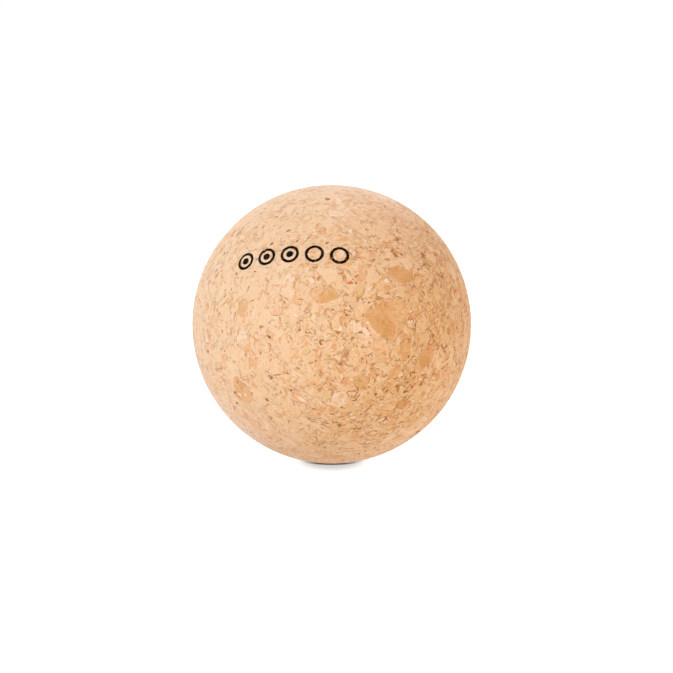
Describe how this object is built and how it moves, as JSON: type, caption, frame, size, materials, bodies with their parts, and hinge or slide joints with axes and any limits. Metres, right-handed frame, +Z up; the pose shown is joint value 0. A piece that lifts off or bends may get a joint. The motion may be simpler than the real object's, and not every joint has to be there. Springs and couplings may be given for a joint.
{
  "type": "massage ball",
  "caption": "Solid cork ball for rolling out muscles: bonded cork granules turned to a smooth sphere, with a small printed row of rings and dots.",
  "frame": {"origin": "centre of the ball", "axes": "+Z up as the ball rests on a floor, -Y towards the viewer and the printed side, +X to the viewer's right"},
  "size_m": [0.065, 0.065, 0.065],
  "materials": {
    "fine_cork": "fine bonded cork, turned and sanded, uncoated",
    "pale_cork": "pale cork granule, sanded",
    "tan_cork": "tan cork granule, sanded",
    "amber_cork": "amber cork granule, sanded",
    "brown_cork": "brown, barky cork granule, sanded",
    "black_print": "matt black pad-printing ink, slightly worn on the grain"
  },
  "bodies": {
    "root": {"fine_grain_body": "fine_cork", "granule_back_1": "pale_cork", "granule_back_2": "brown_cork", "granule_back_3": "amber_cork", "granule_back_4": "amber_cork", "granule_back_5": "tan_cork", "granule_bottom_1": "amber_cork", "granule_bottom_2": "brown_cork", "granule_bottom_3": "tan_cork", "granule_bottom_4": "amber_cork", "granule_bottom_5": "brown_cork", "granule_bottom_6": "pale_cork", "granule_bottom_7": "amber_cork", "granule_front_1": "tan_cork", "granule_front_2": "amber_cork", "granule_front_3": "tan_cork", "granule_front_centre": "pale_cork", "granule_front_large": "amber_cork", "granule_front_left": "brown_cork", "granule_front_low_brown": "brown_cork", "granule_front_low_right": "brown_cork", "granule_front_lower_oval": "tan_cork", "granule_front_lower_plate": "pale_cork", "granule_front_right": "amber_cork", "granule_front_upper": "amber_cork", "granule_front_upper_left": "tan_cork", "granule_front_upper_right": "amber_cork", "granule_left_1": "brown_cork", "granule_left_2": "pale_cork", "granule_left_3": "pale_cork", "granule_left_4": "tan_cork", "granule_left_5": "amber_cork", "granule_left_6": "pale_cork", "granule_left_7": "tan_cork", "granule_right_1": "tan_cork", "granule_right_2": "amber_cork", "granule_right_3": "pale_cork", "granule_right_4": "tan_cork", "granule_right_5": "pale_cork", "granule_right_6": "amber_cork", "granule_top_1": "pale_cork", "granule_top_2": "tan_cork", "granule_top_3": "pale_cork", "printed_dot_1": "black_print", "printed_dot_2": "black_print", "printed_dot_3": "black_print", "printed_ring_1": "black_print", "printed_ring_2": "black_print", "printed_ring_3": "black_print", "printed_ring_4": "black_print", "printed_ring_5": "black_print"}
  },
  "joints": []
}
